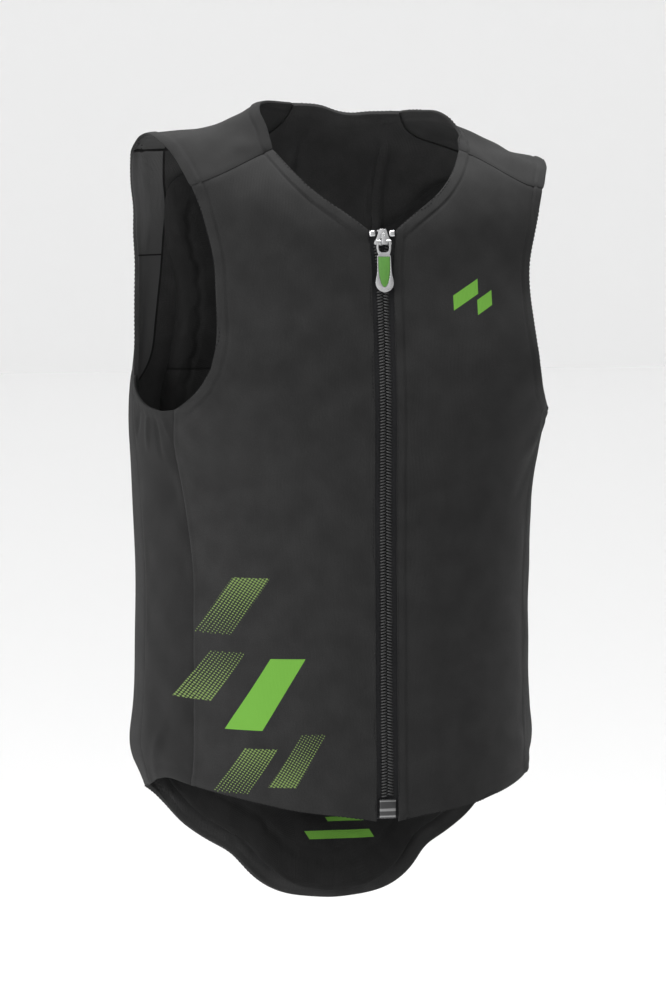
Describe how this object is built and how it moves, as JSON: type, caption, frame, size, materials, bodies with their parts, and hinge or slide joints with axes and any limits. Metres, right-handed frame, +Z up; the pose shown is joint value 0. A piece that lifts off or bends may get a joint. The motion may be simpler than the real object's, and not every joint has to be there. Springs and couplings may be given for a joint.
{
  "type": "protective vest",
  "caption": "Sleeveless zip-front riding vest of black stretch cloth with a padded protector inside the back, which runs down below the hem as a tail.",
  "frame": {"origin": "where the vest sits on the shoulders, midway between the two shoulder yokes", "axes": "+Z up from the hem to the neck, +Y from the chest to the back, +X towards the wearer's left"},
  "size_m": [0.326, 0.221, 0.6178],
  "materials": {
    "stretch_cloth": "matt knitted stretch cloth",
    "lining": "matt padded lining",
    "zip_tape": "woven tape",
    "zip_coil": "satin coil",
    "bright_metal": "satin plated",
    "dark_metal": "satin",
    "green_plastic": "smooth rubber-like"
  },
  "bodies": {
    "vest": {"front_panel_right": "stretch_cloth", "side_panel_right": "stretch_cloth", "yoke_right": "stretch_cloth", "zip_tape_right": "zip_tape", "zip_coil_right": "zip_coil", "top_stop_right": "bright_metal", "front_panel_left": "stretch_cloth", "side_panel_left": "stretch_cloth", "yoke_left": "stretch_cloth", "zip_tape_left": "zip_tape", "zip_coil_left": "zip_coil", "top_stop_left": "bright_metal", "back_cover": "stretch_cloth", "back_protector": "lining", "zip_retainer": "dark_metal", "slider": "bright_metal"},
    "pull": {"pull": "bright_metal", "pull_inlay": "green_plastic"}
  },
  "joints": [
    {"name": "zip_pull", "type": "hinge", "parent": "vest", "child": "pull", "pos_m": [0, -0.07961, -0.07199], "axis": [-1, 0, 0], "range_deg": [0, 165]}
  ]
}
